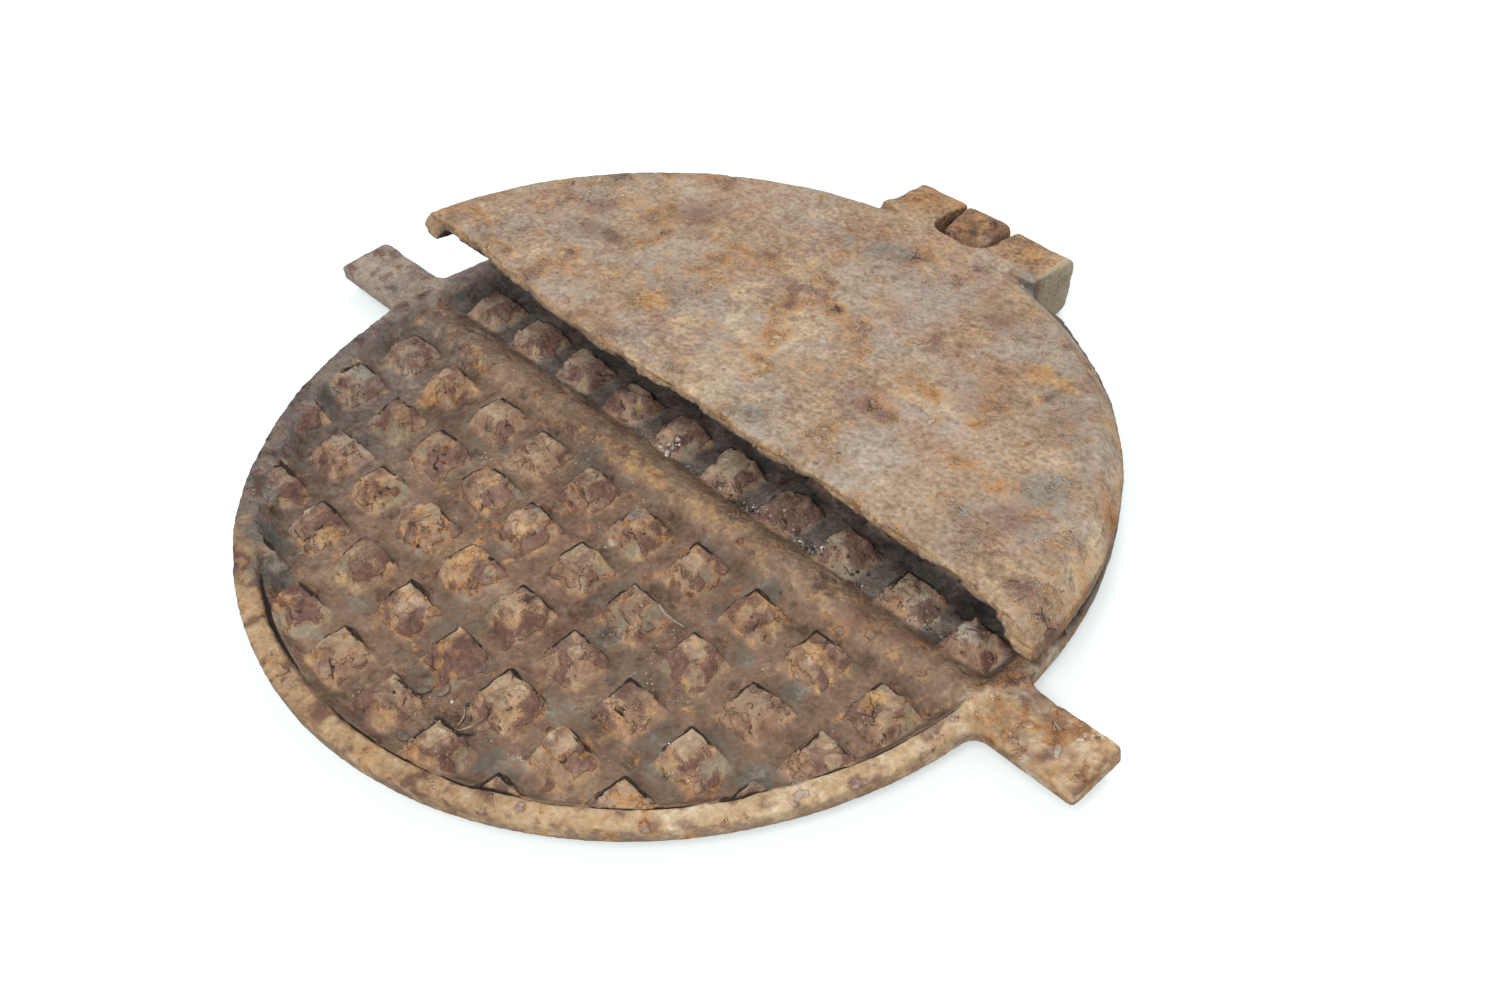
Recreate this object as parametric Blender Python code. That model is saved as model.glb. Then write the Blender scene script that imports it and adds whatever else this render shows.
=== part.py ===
"""A stovetop waffle iron of cast iron, old and broken, as two plates on one hinge pin.

The lower plate lies flat. Of the upper plate only the half next to the hinge is left, and it rests a
little open. The origin is the centre of the lower plate's flat underside, +X runs along the tabs,
+Y points at the hinge and +Z is up. Lengths are in metres.
"""

import math

import bmesh
import bpy
from mathutils import Euler, Matrix, Vector

# What both plates share
disc_radius = 0.095
plate_thickness = 0.0084
edge_height = 0.0039  # the upright side, measured from the rim's face
shoulder_run = 0.0051  # how far the chamfer comes in, from the upright side to the flat back
rim_width = 0.0045
wall_run = 0.0046  # how far the pan's sloping wall comes in
sheet_thickness = 0.0026

# The waffle pattern, which the two plates mirror
column_pitch = 0.01754
row_pitch = 0.01583
pattern_shift_x = -0.0013
pattern_shift_y = -0.0031
far_rows_shift = 0.0017  # how far the rows on the hinge side stand to the right of the others
first_row_offset = 0.01225  # from the divider's middle to the middle of the first row
pattern_skew = math.radians(-0.55)
stud_top = 0.0052
stud_drop = 0.0007  # how far a stud's flat top lies below the rim's face
column_valley = 0.0046
row_valley = 0.0030
divider_width = 0.0076
divider_height = 0.0040

# The tabs
left_tab_length = 0.0254  # past the disc's edge
right_tab_length = 0.0223
tab_width = 0.0145
tab_y = -0.0025
tab_thickness = 0.0034
tab_drop = 0.0002  # how far its top lies below the rim's face
tab_corner = 0.0016
tab_root_fillet = 0.0036

# The hinge, on an axis in the plane where the closed plates would meet
hinge_overhang = 0.0067  # from the disc's edge to the axis
hinge_reach = disc_radius + hinge_overhang
hinge_slack = 0.0025  # how far the worn hinge lets the upper plate sit towards the front
hinge_rise = 0.0010  # the axis above the lower rim, lifted by the worn hole
upper_creep = 0.0013  # how far the upper plate has moved sideways on its pin
barrel_radius = 0.0078
barrel_corner = 0.0025
barrel_back = 0.0059  # from the axis to the upright back of the ears
ears_floor = 0.0002  # the ears' flat underside, measured from the upper rim's face
knuckle_width = 0.0124
ears_half_width = 0.0238
slot_gap_left = 0.0015  # between the knuckle and the ears, once the upper plate has crept
slot_gap_right = 0.0013
slot_gap_front = 0.0024
slot_round = 0.0036
pocket_gap = 0.0004
pocket_side_gap = 0.0014
neck_drop = 0.0024  # from the axis down to the top of the neck

# The hinge pin
pin_radius = 0.0025
pin_ear_gap = 0.00015
pin_knuckle_gap = 0.0007
pin_end_gap = 0.0003
pin_blind_wall = 0.0034

# How the upper plate lies at rest
rest_opening = math.radians(6.08)
rest_lean = math.radians(2.81)

# The break, from the left rim to the right: shares of the disc's radius across, and its place from the
# divider's middle as a share of the row pitch
break_shares = (
    (-1.20, 0.50), (-0.962, 0.50), (-0.887, 0.50), (-0.776, 0.52), (-0.717, 0.485), (-0.575, 0.445),
    (-0.490, 0.405), (-0.408, 0.385), (-0.330, 0.400), (-0.262, 0.390), (-0.190, 0.435), (-0.127, 0.425),
    (-0.006, 0.50), (0.060, 0.495), (0.122, 0.52), (0.190, 0.50), (0.247, 0.525), (0.300, 0.570),
    (0.359, 0.575), (0.415, 0.625), (0.469, 0.615), (0.530, 0.600), (0.587, 0.575), (0.640, 0.615),
    (0.689, 0.62), (0.792, 0.63), (0.866, 0.64), (0.895, 0.575), (0.925, 0.525), (1.20, 0.50),
)

# The corners of a square, in halves of its width
corner_shares = ((-1, -1), (1, -1), (1, 1), (-1, 1))

# Fineness and fit
turn_steps = 108
arc_steps = 5
barrel_steps = 28
overrun = 0.0060
sink = 0.0008  # how deep one shape is let into the next before they are joined
seam_width = 0.00002  # what counts as one point where a turned shape closes
weld_width = 0.000004  # what counts as one point after a cut


def clear_scene():
    for thing in list(bpy.data.objects):
        bpy.data.objects.remove(thing, do_unlink=True)


def iron(name, colour, roughness):
    material = bpy.data.materials.new(name)
    material.use_nodes = True
    shader = material.node_tree.nodes["Principled BSDF"]
    shader.inputs["Base Color"].default_value = (*colour, 1.0)
    shader.inputs["Roughness"].default_value = roughness
    shader.inputs["Metallic"].default_value = 0.15
    return material


def put(name, shape):
    """An object that holds the bmesh. Faces of four sides are parted, so that none is warped."""
    bmesh.ops.triangulate(shape, faces=[face for face in shape.faces if len(face.verts) == 4])
    bmesh.ops.recalc_face_normals(shape, faces=shape.faces)
    mesh = bpy.data.meshes.new(name)
    shape.to_mesh(mesh)
    shape.free()
    thing = bpy.data.objects.new(name, mesh)
    bpy.context.scene.collection.objects.link(thing)
    return thing


def cut(body, tool, operation):
    """Apply one Boolean and take the tool away."""
    boolean = body.modifiers.new(operation.lower(), "BOOLEAN")
    boolean.operation = operation
    boolean.solver = "EXACT"
    boolean.object = tool
    bpy.context.view_layer.update()
    graph = bpy.context.evaluated_depsgraph_get()
    mesh = bpy.data.meshes.new_from_object(body.evaluated_get(graph))
    body.modifiers.clear()
    body.data = mesh
    bpy.data.objects.remove(tool, do_unlink=True)
    weld(mesh)


def weld(mesh):
    """Join the points that a cut leaves closer together than anything in the object."""
    shape = bmesh.new()
    shape.from_mesh(mesh)
    bmesh.ops.remove_doubles(shape, verts=shape.verts, dist=weld_width)
    bmesh.ops.dissolve_degenerate(shape, edges=shape.edges, dist=weld_width)
    shape.to_mesh(mesh)
    shape.free()


def turned(name, profile):
    """A solid turned about Z from (radius, height) points, closed by a flat round face at each end."""
    shape = bmesh.new()
    corners = [shape.verts.new((radius, 0, height)) for radius, height in profile]
    edges = [shape.edges.new(pair) for pair in zip(corners, corners[1:])]
    bmesh.ops.spin(
        shape, geom=corners + edges, cent=(0, 0, 0), axis=(0, 0, 1), angle=math.tau, steps=turn_steps
    )
    bmesh.ops.remove_doubles(shape, verts=shape.verts, dist=seam_width)
    rings = [edge for edge in shape.edges if edge.is_boundary]
    bmesh.ops.edgeloop_fill(shape, edges=rings)
    return put(name, shape)


def prism(name, outline, depth, axis):
    """The outline, a list of points in a plane, extruded along the axis vector by the depth."""
    shape = bmesh.new()
    face = shape.faces.new([shape.verts.new(point) for point in outline])
    grown = bmesh.ops.extrude_face_region(shape, geom=[face])
    moved = [item for item in grown["geom"] if isinstance(item, bmesh.types.BMVert)]
    bmesh.ops.translate(shape, verts=moved, vec=Vector(axis) * depth)
    return put(name, shape)


def arc(centre, radius, start, end, steps):
    """Points on an arc, from one angle to the other."""
    turns = [start + (end - start) * step / steps for step in range(steps + 1)]
    return [(centre[0] + radius * math.cos(turn), centre[1] + radius * math.sin(turn)) for turn in turns]


def rod(name, start, end, radius, y, z):
    """A round bar along X."""
    ring = arc((y, z), radius, 0, math.tau, barrel_steps)[:-1]
    return prism(name, [(start, across, up) for across, up in ring], end - start, (1, 0, 0))


def dish():
    """The round plate, back down, with its pan open upwards."""
    edge_foot = plate_thickness - edge_height
    rim_inside = disc_radius - rim_width
    return turned(
        "dish",
        [
            (rim_inside - wall_run, sheet_thickness),
            (rim_inside, plate_thickness),
            (disc_radius, plate_thickness),
            (disc_radius, edge_foot),
            (disc_radius - shoulder_run, 0),
        ],
    )


def add_stud(shape, x, y):
    """One flat-topped pyramid, its foot let into the sheet."""
    foot = sheet_thickness - sink
    top = plate_thickness - stud_drop
    half_x = (column_pitch - column_valley) / 2
    half_y = (row_pitch - row_valley) / 2
    # The foot widens in line with the sides
    grow = sink / (top - sheet_thickness)
    wide_x = half_x + (half_x - stud_top / 2) * grow
    wide_y = half_y + (half_y - stud_top / 2) * grow
    low = [shape.verts.new((x + a * wide_x, y + b * wide_y, foot)) for a, b in corner_shares]
    high = [shape.verts.new((x + a * stud_top / 2, y + b * stud_top / 2, top)) for a, b in corner_shares]
    shape.faces.new(low[::-1])
    shape.faces.new(high)
    for here in range(len(low)):
        ahead = (here + 1) % len(low)
        shape.faces.new((low[here], low[ahead], high[ahead], high[here]))


def stud_places():
    """The middles of all cells that the pan holds, whole or in part."""
    pan = disc_radius - rim_width - wall_run / 2
    columns = 2 * math.ceil(pan / column_pitch)
    rows_each_side = math.ceil(pan / row_pitch)
    for column in range(columns):
        for row in range(rows_each_side):
            for side, shift in ((-1, 0), (1, far_rows_shift)):
                x = (column - (columns - 1) / 2) * column_pitch + pattern_shift_x + shift
                y = side * (first_row_offset + row * row_pitch) + pattern_shift_y
                near_x = abs(x) - (column_pitch - column_valley) / 4
                near_y = abs(y) - (row_pitch - row_valley) / 4
                if math.hypot(near_x, near_y) < pan:
                    yield x, y


def studs():
    """All pyramids, cut off inside the rim."""
    shape = bmesh.new()
    for x, y in stud_places():
        add_stud(shape, x, y)
    bmesh.ops.rotate(
        shape, verts=shape.verts, cent=(pattern_shift_x, pattern_shift_y, 0),
        matrix=Matrix.Rotation(pattern_skew, 3, "Z"),
    )
    field = put("studs", shape)
    limit = disc_radius - rim_width / 2
    guard = turned("guard", [(limit, plate_thickness), (limit, 0)])
    cut(field, guard, "INTERSECT")
    return field


def divider():
    """The plain rounded bar between the two halves of the pattern."""
    half = divider_width / 2
    radius = (half**2 + divider_height**2) / (2 * divider_height)
    middle = sheet_thickness + divider_height - radius
    spread = math.asin(half / radius)
    crown = arc((pattern_shift_y, middle), radius, math.pi / 2 - spread, math.pi / 2 + spread, 2 * arc_steps)
    foot = sheet_thickness - sink
    section = [(half + pattern_shift_y, foot), *crown, (-half + pattern_shift_y, foot)]
    reach = disc_radius - rim_width / 2
    return prism("divider", [(-reach, y, z) for y, z in section], 2 * reach, (1, 0, 0))


def tab(side, length):
    """One straight tab, nearly flush with the rim's face, with hollow fillets where it leaves the disc."""
    half = tab_width / 2
    corner_x = disc_radius + length - tab_corner
    corner_y = half - tab_corner
    end = arc((corner_x, -corner_y), tab_corner, -math.pi / 2, 0, arc_steps)
    end += arc((corner_x, corner_y), tab_corner, 0, math.pi / 2, arc_steps)
    # Each fillet's centre lies one fillet outside both the tab's side and the disc
    away = half + tab_root_fillet
    along = math.sqrt((disc_radius + tab_root_fillet) ** 2 - (away + abs(tab_y)) ** 2)
    lean = math.atan2(away, along)
    far = arc((along, away), tab_root_fillet, -math.pi / 2, -math.pi + lean, arc_steps)
    near = [(x, -y) for x, y in reversed(far)]
    root = disc_radius - rim_width / 2
    outline = [*end, *far, (root, half), (root, -half), *near]
    low = plate_thickness - tab_drop - tab_thickness
    outline = [(side * x, y + tab_y, low) for x, y in outline]
    return prism("tab", outline, tab_thickness, (0, 0, 1))


def barrel_section(forward, floor):
    """Outline (along Y, up Z) of the hinge about its axis: round below, upright behind, flat on top.

    It runs forward to join its plate, no lower there than the floor.
    """
    top = plate_thickness
    start = math.acos(barrel_back / barrel_radius)
    round_part = arc((0, 0), barrel_radius, -start, -math.pi, barrel_steps // 2)
    corner = arc((barrel_back - barrel_corner, top - barrel_corner), barrel_corner, math.pi / 2, 0, arc_steps)
    return [(-forward, top), *corner, *round_part, (-barrel_radius, floor), (-forward, floor)]


def knuckle():
    """The lower plate's middle knuckle, on a neck that joins it to the rim."""
    start = math.acos(barrel_back / barrel_radius)
    corner_y = barrel_back - barrel_corner
    corner_z = plate_thickness - barrel_corner
    corner = arc((corner_y, corner_z), barrel_corner, math.pi / 2, 0, arc_steps)
    below = arc((0, 0), barrel_radius, -start, -math.pi / 2, barrel_steps // 4)
    shoulder = math.asin(neck_drop / barrel_radius)
    front = arc((0, 0), barrel_radius, math.pi + shoulder, math.pi / 2, barrel_steps // 4)
    y, z = hinge_centre()
    # The neck ends inside the rim
    neck = y - disc_radius + rim_width
    outline = [*corner, *below, (-neck, -barrel_radius), (-neck, -neck_drop), *front]
    half = knuckle_width / 2
    return prism("knuckle", [(-half, y + across, z + up) for across, up in outline], knuckle_width, (1, 0, 0))


def hinge_centre():
    """Where the axis crosses the lower plate's middle: along Y and up Z."""
    return hinge_reach - hinge_slack, plate_thickness + hinge_rise


def hinge_frame():
    """The upper plate's frame on the hinge axis, at rest: its own X runs along the leaning pin."""
    turn = Euler((-rest_opening, rest_lean, 0)).to_matrix().to_4x4()
    return Matrix.Translation((upper_creep, *hinge_centre())) @ turn


def ear_pockets():
    """Room in the lower rim for the two ears to swing in, along the pin as it leans."""
    reach = ears_half_width + pocket_side_gap
    # They start inside the knuckle, which is joined on afterwards and fills them there
    half = knuckle_width / 2 - sink
    radius = barrel_radius + pocket_gap
    for start, end in ((-reach, -half - upper_creep), (half - upper_creep, reach)):
        pocket = rod("pocket", start, end, radius, 0, 0)
        pocket.data.transform(hinge_frame())
        yield pocket


def make_lower_plate():
    plate = dish()
    plate.name = "lower_plate"
    cut(plate, divider(), "UNION")
    cut(plate, studs(), "UNION")
    for side, length in ((-1, left_tab_length), (1, right_tab_length)):
        cut(plate, tab(side, length), "UNION")
    for pocket in ear_pockets():
        cut(plate, pocket, "DIFFERENCE")
    cut(plate, knuckle(), "UNION")
    y, z = hinge_centre()
    reach = knuckle_width / 2 + overrun
    cut(plate, rod("bore", -reach, reach, pin_radius + pin_knuckle_gap, y, z), "DIFFERENCE")
    return plate


def broken_away():
    """A block over the lost front half, its back face following the break."""
    edge = [
        (across * disc_radius, pattern_shift_y + along * row_pitch)
        for across, along in break_shares
    ]
    front = -disc_radius - overrun
    outline = [*edge, (edge[-1][0], front), (edge[0][0], front)]
    return prism(
        "broken_away", [(x, y, -overrun) for x, y in outline], plate_thickness + 2 * overrun, (0, 0, 1)
    )


def ears():
    """The upper plate's two ears as one block, before the slot parts them."""
    section = barrel_section(hinge_reach - disc_radius + rim_width, ears_floor)
    return prism(
        "ears",
        [(-ears_half_width, hinge_reach + across, up) for across, up in section],
        2 * ears_half_width,
        (1, 0, 0),
    )


def ear_slot():
    """The slot that takes the knuckle, rounded at its bottom."""
    inner = hinge_reach - barrel_radius - slot_gap_front
    left = -knuckle_width / 2 - upper_creep - slot_gap_left
    right = knuckle_width / 2 - upper_creep + slot_gap_right
    corners = arc((left + slot_round, inner + slot_round), slot_round, math.pi, 1.5 * math.pi, arc_steps)
    corners += arc((right - slot_round, inner + slot_round), slot_round, -math.pi / 2, 0, arc_steps)
    back = hinge_reach + barrel_radius + overrun
    outline = [*corners, (right, back), (left, back)]
    low = -barrel_radius - overrun
    return prism("slot", [(x, y, low) for x, y in outline], plate_thickness - low + overrun, (0, 0, 1))


def make_upper_plate(hinge):
    """The half plate, face down. Its own frame has the rim's face at zero height and its back above."""
    plate = dish()
    plate.name = "upper_plate"
    cut(plate, divider(), "UNION")
    cut(plate, studs(), "UNION")
    # Turned over about X and mirrored in Y, so that both plates' patterns face each other
    plate.data.transform(Matrix.Translation((0, 0, plate_thickness)) @ Matrix.Diagonal((1, 1, -1, 1)))
    plate.data.flip_normals()
    cut(plate, ears(), "UNION")
    cut(plate, ear_slot(), "DIFFERENCE")
    blind_end = ears_half_width - pin_blind_wall
    bore = rod("bore", -ears_half_width - overrun, blind_end, pin_radius + pin_ear_gap, hinge_reach, 0)
    cut(plate, bore, "DIFFERENCE")
    cut(plate, broken_away(), "DIFFERENCE")
    plate.data.transform(Matrix.Translation((0, -hinge_reach, 0)))
    plate.parent = hinge
    return plate


def make_hinge_pin(hinge):
    start = -ears_half_width + pin_end_gap
    end = ears_half_width - pin_blind_wall - pin_end_gap
    pin = rod("hinge_pin", start, end, pin_radius, 0, 0)
    pin.parent = hinge
    return pin


def make_hinge():
    """An empty on the hinge axis, which carries the upper plate and its pin."""
    hinge = bpy.data.objects.new("hinge", None)
    bpy.context.scene.collection.objects.link(hinge)
    hinge.matrix_world = hinge_frame()
    return hinge


def main():
    clear_scene()
    hinge = make_hinge()
    lower = make_lower_plate()
    upper = make_upper_plate(hinge)
    pin = make_hinge_pin(hinge)
    lower.data.materials.clear()
    lower.data.materials.append(iron("lower_iron", (0.33, 0.24, 0.18), 0.85))
    upper.data.materials.clear()
    upper.data.materials.append(iron("upper_iron", (0.40, 0.31, 0.25), 0.88))
    pin.data.materials.append(iron("pin_iron", (0.26, 0.15, 0.10), 0.80))
    for plate in (lower, upper, pin):
        plate.data.shade_smooth()
        plate.data.set_sharp_from_angle(angle=math.radians(25))


main()
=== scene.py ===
"""The looks of an old, broken, rusted stovetop waffle iron.

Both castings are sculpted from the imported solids: a fine even mesh of the same shape, worn at its edges,
with rust scale, chips and cracks as real relief. The same fields that shape the relief are kept on the
mesh as masks, and the procedural rust reads them. Lengths are in metres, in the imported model's frame.
"""

import math

import bmesh
import bpy
import numpy as np
from mathutils import Euler, Matrix, Vector
from mathutils.bvhtree import BVHTree


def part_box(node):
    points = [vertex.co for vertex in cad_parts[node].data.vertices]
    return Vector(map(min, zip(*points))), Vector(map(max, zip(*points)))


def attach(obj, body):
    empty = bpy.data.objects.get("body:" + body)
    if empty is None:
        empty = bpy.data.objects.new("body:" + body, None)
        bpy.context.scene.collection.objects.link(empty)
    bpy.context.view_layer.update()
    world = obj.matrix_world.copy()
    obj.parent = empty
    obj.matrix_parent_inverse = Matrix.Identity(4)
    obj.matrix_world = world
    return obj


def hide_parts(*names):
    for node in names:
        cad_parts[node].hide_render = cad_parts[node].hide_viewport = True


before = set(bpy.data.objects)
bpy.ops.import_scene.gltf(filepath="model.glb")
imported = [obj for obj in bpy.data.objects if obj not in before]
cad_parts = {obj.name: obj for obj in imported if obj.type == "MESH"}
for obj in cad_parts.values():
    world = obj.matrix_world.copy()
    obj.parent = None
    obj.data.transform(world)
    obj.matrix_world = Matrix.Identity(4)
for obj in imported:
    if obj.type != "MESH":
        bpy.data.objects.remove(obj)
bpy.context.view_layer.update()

mm = 0.001

# The castings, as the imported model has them
disc_radius = 0.095
plate_thickness = 0.0084
sheet_thickness = 0.0026
rim_inside = 0.0905
wall_run = 0.0046
column_pitch = 0.01754
row_pitch = 0.01583
pattern_shift_x = -0.0013
pattern_shift_y = -0.0031
pattern_skew = math.radians(-0.55)
far_rows_shift = 0.0017
first_row_offset = 0.01225
stud_height = 0.0051
stud_half_top = 0.0026
stud_run_x = 0.00387
stud_run_y = 0.003815
divider_half = 0.0038
divider_height = 0.004
hinge_reach = 0.1017
rest_opening = math.radians(6.08)
rest_lean = math.radians(2.81)
hinge_place = Vector((0.0013, 0.0992, 0.0094))
upper_frame = Matrix.Translation(hinge_place) @ Euler((-rest_opening, rest_lean, 0)).to_matrix().to_4x4()

# The break in the upper plate, from left to right: shares of the disc's radius across, and the place from
# the divider's middle as a share of the row pitch
break_shares = np.array((
    (-1.2, 0.5), (-0.962, 0.5), (-0.887, 0.5), (-0.776, 0.52), (-0.717, 0.485), (-0.575, 0.445),
    (-0.49, 0.405), (-0.408, 0.385), (-0.33, 0.4), (-0.262, 0.39), (-0.19, 0.435), (-0.127, 0.425),
    (-0.006, 0.5), (0.06, 0.495), (0.122, 0.52), (0.19, 0.5), (0.247, 0.525), (0.3, 0.57),
    (0.359, 0.575), (0.415, 0.625), (0.469, 0.615), (0.53, 0.6), (0.587, 0.575), (0.64, 0.615),
    (0.689, 0.62), (0.792, 0.63), (0.866, 0.64), (0.895, 0.575), (0.925, 0.525), (1.2, 0.5),
))

# How fine the sculpted meshes are
voxel = 0.00045
most_faces = 190000


# Noise on arrays of points


def scatter(cells, seed):
    """A number from 0 to 1 for each whole-numbered cell."""
    parts = cells.astype(np.int64).astype(np.uint32)
    mixed = parts[..., 0] * np.uint32(0x8DA6B343) ^ parts[..., 1] * np.uint32(0xD8163841)
    mixed = mixed ^ parts[..., 2] * np.uint32(0xCB1AB31F) ^ np.uint32(seed * 2654435761 % 2**32)
    mixed = (mixed ^ mixed >> np.uint32(15)) * np.uint32(0x2C1B3C6D)
    mixed = (mixed ^ mixed >> np.uint32(12)) * np.uint32(0x297A2D39)
    mixed = mixed ^ mixed >> np.uint32(15)
    return mixed.astype(np.float64) / 2**32


def soft_noise(points, size, seed):
    """Smooth noise from -1 to 1 whose lumps are about the size given."""
    place = points / size
    low = np.floor(place)
    share = place - low
    share = share * share * share * (share * (share * 6 - 15) + 10)
    total = np.zeros(len(points))
    for corner in np.ndindex(2, 2, 2):
        weight = np.prod(np.where(corner, share, 1 - share), axis=1)
        total += weight * scatter(low + corner, seed)
    return total * 2 - 1


def rough_noise(points, size, seed, octaves=3):
    """Smooth noise with finer noise on it, about -1 to 1."""
    total = np.zeros(len(points))
    for octave in range(octaves):
        share = 0.5**octave
        total += share * soft_noise(points + octave * 0.37, size * share, seed + octave)
    return total


def rise(values, low, high):
    """0 at the low value, 1 at the high one, smooth between them and flat beyond."""
    share = np.clip((values - low) / (high - low), 0, 1)
    return share * share * (3 - 2 * share)


def hill(values, middle, width):
    """1 in the middle, fading to 0 about two widths away."""
    return np.exp(-(((values - middle) / width) ** 2))


def spots(points, places):
    """Soft patches: each place is (x, y, size, strength) in millimetres, seen from above."""
    total = np.zeros(len(points))
    for x, y, size, strength in places:
        away = np.hypot(points[:, 0] - x * mm, points[:, 1] - y * mm) / (size * mm)
        total = np.maximum(total, strength * np.exp(-away * away))
    return total


def smooth_max(first, second, softness):
    return (first + second + np.hypot(first - second, softness)) / 2


# Meshes as arrays


def read_vectors(mesh, kind):
    flat = np.empty(len(mesh.vertices) * 3, np.float32)
    mesh.vertices.foreach_get(kind, flat)
    return flat.reshape(-1, 3).astype(np.float64)


def read_points(mesh):
    return read_vectors(mesh, "co")


def read_normals(mesh):
    return read_vectors(mesh, "normal")


def write_points(mesh, points):
    mesh.vertices.foreach_set("co", points.astype(np.float32).ravel())
    mesh.update()


def add_object(name, data):
    thing = bpy.data.objects.new(name, data)
    bpy.context.scene.collection.objects.link(thing)
    return thing


def apply_modifiers(thing):
    graph = bpy.context.evaluated_depsgraph_get()
    mesh = bpy.data.meshes.new_from_object(thing.evaluated_get(graph))
    thing.modifiers.clear()
    thing.data = mesh


def fine_copy(name, node):
    """An even, closed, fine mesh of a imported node, its edges a little worn."""
    thing = add_object(name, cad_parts[node].data.copy())
    thing.data.materials.clear()
    remesh = thing.modifiers.new("even", "REMESH")
    remesh.mode = "VOXEL"
    remesh.voxel_size = voxel
    wear = thing.modifiers.new("wear", "SMOOTH")
    wear.factor = 0.5
    wear.iterations = 3
    apply_modifiers(thing)
    return thing


def relax(thing, weights, rounds):
    """Round off the parts of the mesh that the weights name."""
    group = thing.vertex_groups.new(name="relax")
    levels = np.round(weights * 10).astype(int)
    for level in range(1, 11):
        group.add(np.flatnonzero(levels == level).tolist(), level / 10, "REPLACE")
    smooth = thing.modifiers.new("relax", "SMOOTH")
    smooth.vertex_group = "relax"
    smooth.factor = 0.5
    smooth.iterations = rounds
    apply_modifiers(thing)
    thing.vertex_groups.clear()


def thin_out(thing):
    """Take faces away where the surface is nearly flat."""
    count = sum(len(face.vertices) - 2 for face in thing.data.polygons)
    if count > most_faces:
        fewer = thing.modifiers.new("fewer", "DECIMATE")
        fewer.ratio = most_faces / count
        apply_modifiers(thing)


def keep_masks(mesh, masks):
    """Numbers on the mesh's points, for the materials to read."""
    for name, values in masks.items():
        layer = mesh.attributes.new(name, "FLOAT", "POINT")
        layer.data.foreach_set("value", values.astype(np.float32))


# The pan and its studs, as heights above the plate's flat back

# How many stud heights the wall climbs over its run
wall_steepness = 1.137
# The studs as worn: how square they are in plan, how far each side slopes out, and how they vary
stud_squareness = 4.2
left_run, right_run = 0.0024, 0.005
far_run, near_run = 0.0018, 0.0047
stud_shift = 0.0008
stud_tilt = 0.12
stud_wear = 0.00075
stud_fullness = 1.1
edge_wobble, small_wobble = 0.00055, 0.00022
# The divider as worn, and the silt between the studs
worn_divider_height = divider_height * 0.88
worn_divider_half = 0.007
deepest_bar = -0.003
silt_height = 0.00035
silt_size = 0.009
lowering = 0.0001
stud_foot, divider_foot, wall_foot = 0.0007, 0.0016, 0.0011
# The gaps that have opened along the edges of the studs' tops, darkened partly as painted shadow
gap_middle, gap_width = 0.00015, 0.0004
gap_end, gap_fade = 0.0006, 0.0005
# Where the pan gives way to the rim, and where the hinge interrupts them
pan_fade, rim_fade = 0.0011, 0.0001
hinge_starts = 0.0845
hinge_side, hinge_side_end = 0.027, 0.03
ears_side, ears_side_end = 0.028, 0.032


def cells_at(x, y):
    """Offsets from the nearest stud's middle, and the stud's cell."""
    dx, dy = x - pattern_shift_x, y - pattern_shift_y
    turn_x, turn_y = math.cos(pattern_skew), math.sin(pattern_skew)
    dx, dy = dx * turn_x + dy * turn_y, dy * turn_x - dx * turn_y
    far = dy > 0
    dx = dx - np.where(far, far_rows_shift, 0)
    column = np.round(dx / column_pitch - 0.5)
    row = np.maximum(np.round((np.abs(dy) - first_row_offset) / row_pitch), 0)
    across = dx - (column + 0.5) * column_pitch
    along = (np.abs(dy) - first_row_offset - row * row_pitch) * np.sign(dy)
    cell = np.stack([column, np.where(far, row + 1, -row - 1), np.zeros_like(row)], axis=1)
    return across, along, cell


def wall_height(x, y):
    climb = np.hypot(x, y) - rim_inside + wall_run
    return sheet_thickness + climb * stud_height / wall_run * wall_steepness


def cad_height(x, y):
    """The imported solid's height."""
    across, along, _ = cells_at(x, y)
    side = np.maximum(
        (np.abs(across) - stud_half_top) / stud_run_x, (np.abs(along) - stud_half_top) / stud_run_y
    )
    stud = stud_height * np.clip(1 - side, 0, 1)
    radius = (divider_half**2 + divider_height**2) / (2 * divider_height)
    away = np.minimum(np.abs(y - pattern_shift_y), divider_half)
    bar = divider_height - radius + np.sqrt(radius**2 - away**2)
    height = sheet_thickness + np.maximum(stud, np.where(away < divider_half, bar, 0))
    return np.clip(np.maximum(height, wall_height(x, y)), 0, plate_thickness)


def flat_points(x, y):
    return np.stack([x, y, np.zeros_like(x)], axis=1)


def stud_sides(x, y, seed):
    """Where a point lies on its stud: the offsets from its middle, its cell, how far down the sides the
    point is along each axis and overall (0 on the flat top, 1 at the foot), and the half top."""
    flat = flat_points(x, y)

    def wobble(size, small_size, first_seed):
        broad = edge_wobble * soft_noise(flat, size, first_seed)
        return broad + small_wobble * soft_noise(flat, small_size, first_seed + 1)

    across, along, cell = cells_at(x, y)
    across = across + wobble(0.0062, 0.0021, seed + 1) + stud_shift * (scatter(cell, seed + 5) - 0.5)
    along = along + wobble(0.0058, 0.0023, seed + 3) + stud_shift * (scatter(cell, seed + 6) - 0.5)
    top = stud_half_top * (0.92 + 0.36 * scatter(cell, seed + 7))
    # The sides that face the hinge and the left tab are steeper
    run_x = np.where(across < 0, left_run, right_run) + stud_half_top - top
    run_y = np.where(along > 0, far_run, near_run) + stud_half_top - top
    side_x = np.maximum(np.abs(across) - top, 0) / run_x
    side_y = np.maximum(np.abs(along) - top, 0) / run_y
    down = (side_x**stud_squareness + side_y**stud_squareness) ** (1 / stud_squareness)
    return across, along, cell, side_x, side_y, down, top


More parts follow.
